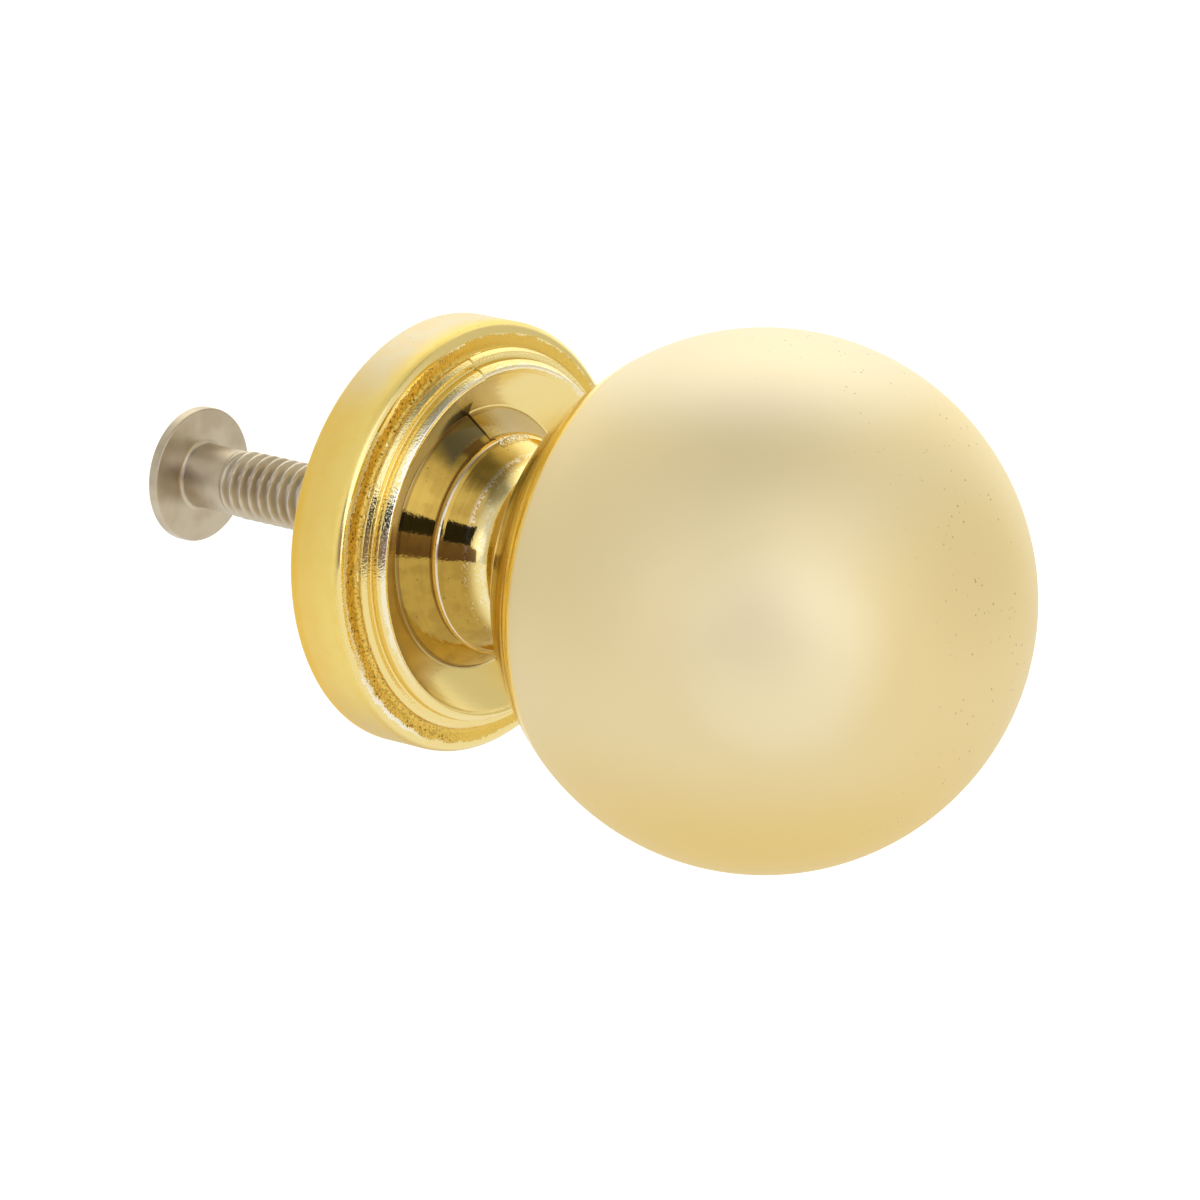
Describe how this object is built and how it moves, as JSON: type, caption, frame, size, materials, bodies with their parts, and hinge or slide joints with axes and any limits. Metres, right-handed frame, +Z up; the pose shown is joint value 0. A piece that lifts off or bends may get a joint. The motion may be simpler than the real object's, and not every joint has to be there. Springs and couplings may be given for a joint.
{
  "type": "cabinet knob",
  "caption": "Round ball knob on a waisted neck and a stepped round rosette, with the machine screw that fixes it from behind a door or drawer front.",
  "frame": {"origin": "centre of the rosette's back face, on the knob's axis", "axes": "-Y along the knob's axis from the rosette to the ball, +Y out of the back along the screw, +Z up"},
  "size_m": [0.0318, 0.0624, 0.0318],
  "materials": {
    "plated_casting": "polished gold-coloured plating on the rosette and neck, softer satin on the front of the ball",
    "screw_steel": "dull nickel-plated steel, slightly warm grey"
  },
  "bodies": {
    "root": {"knob": "plated_casting", "mounting_screw": "screw_steel"}
  },
  "joints": []
}
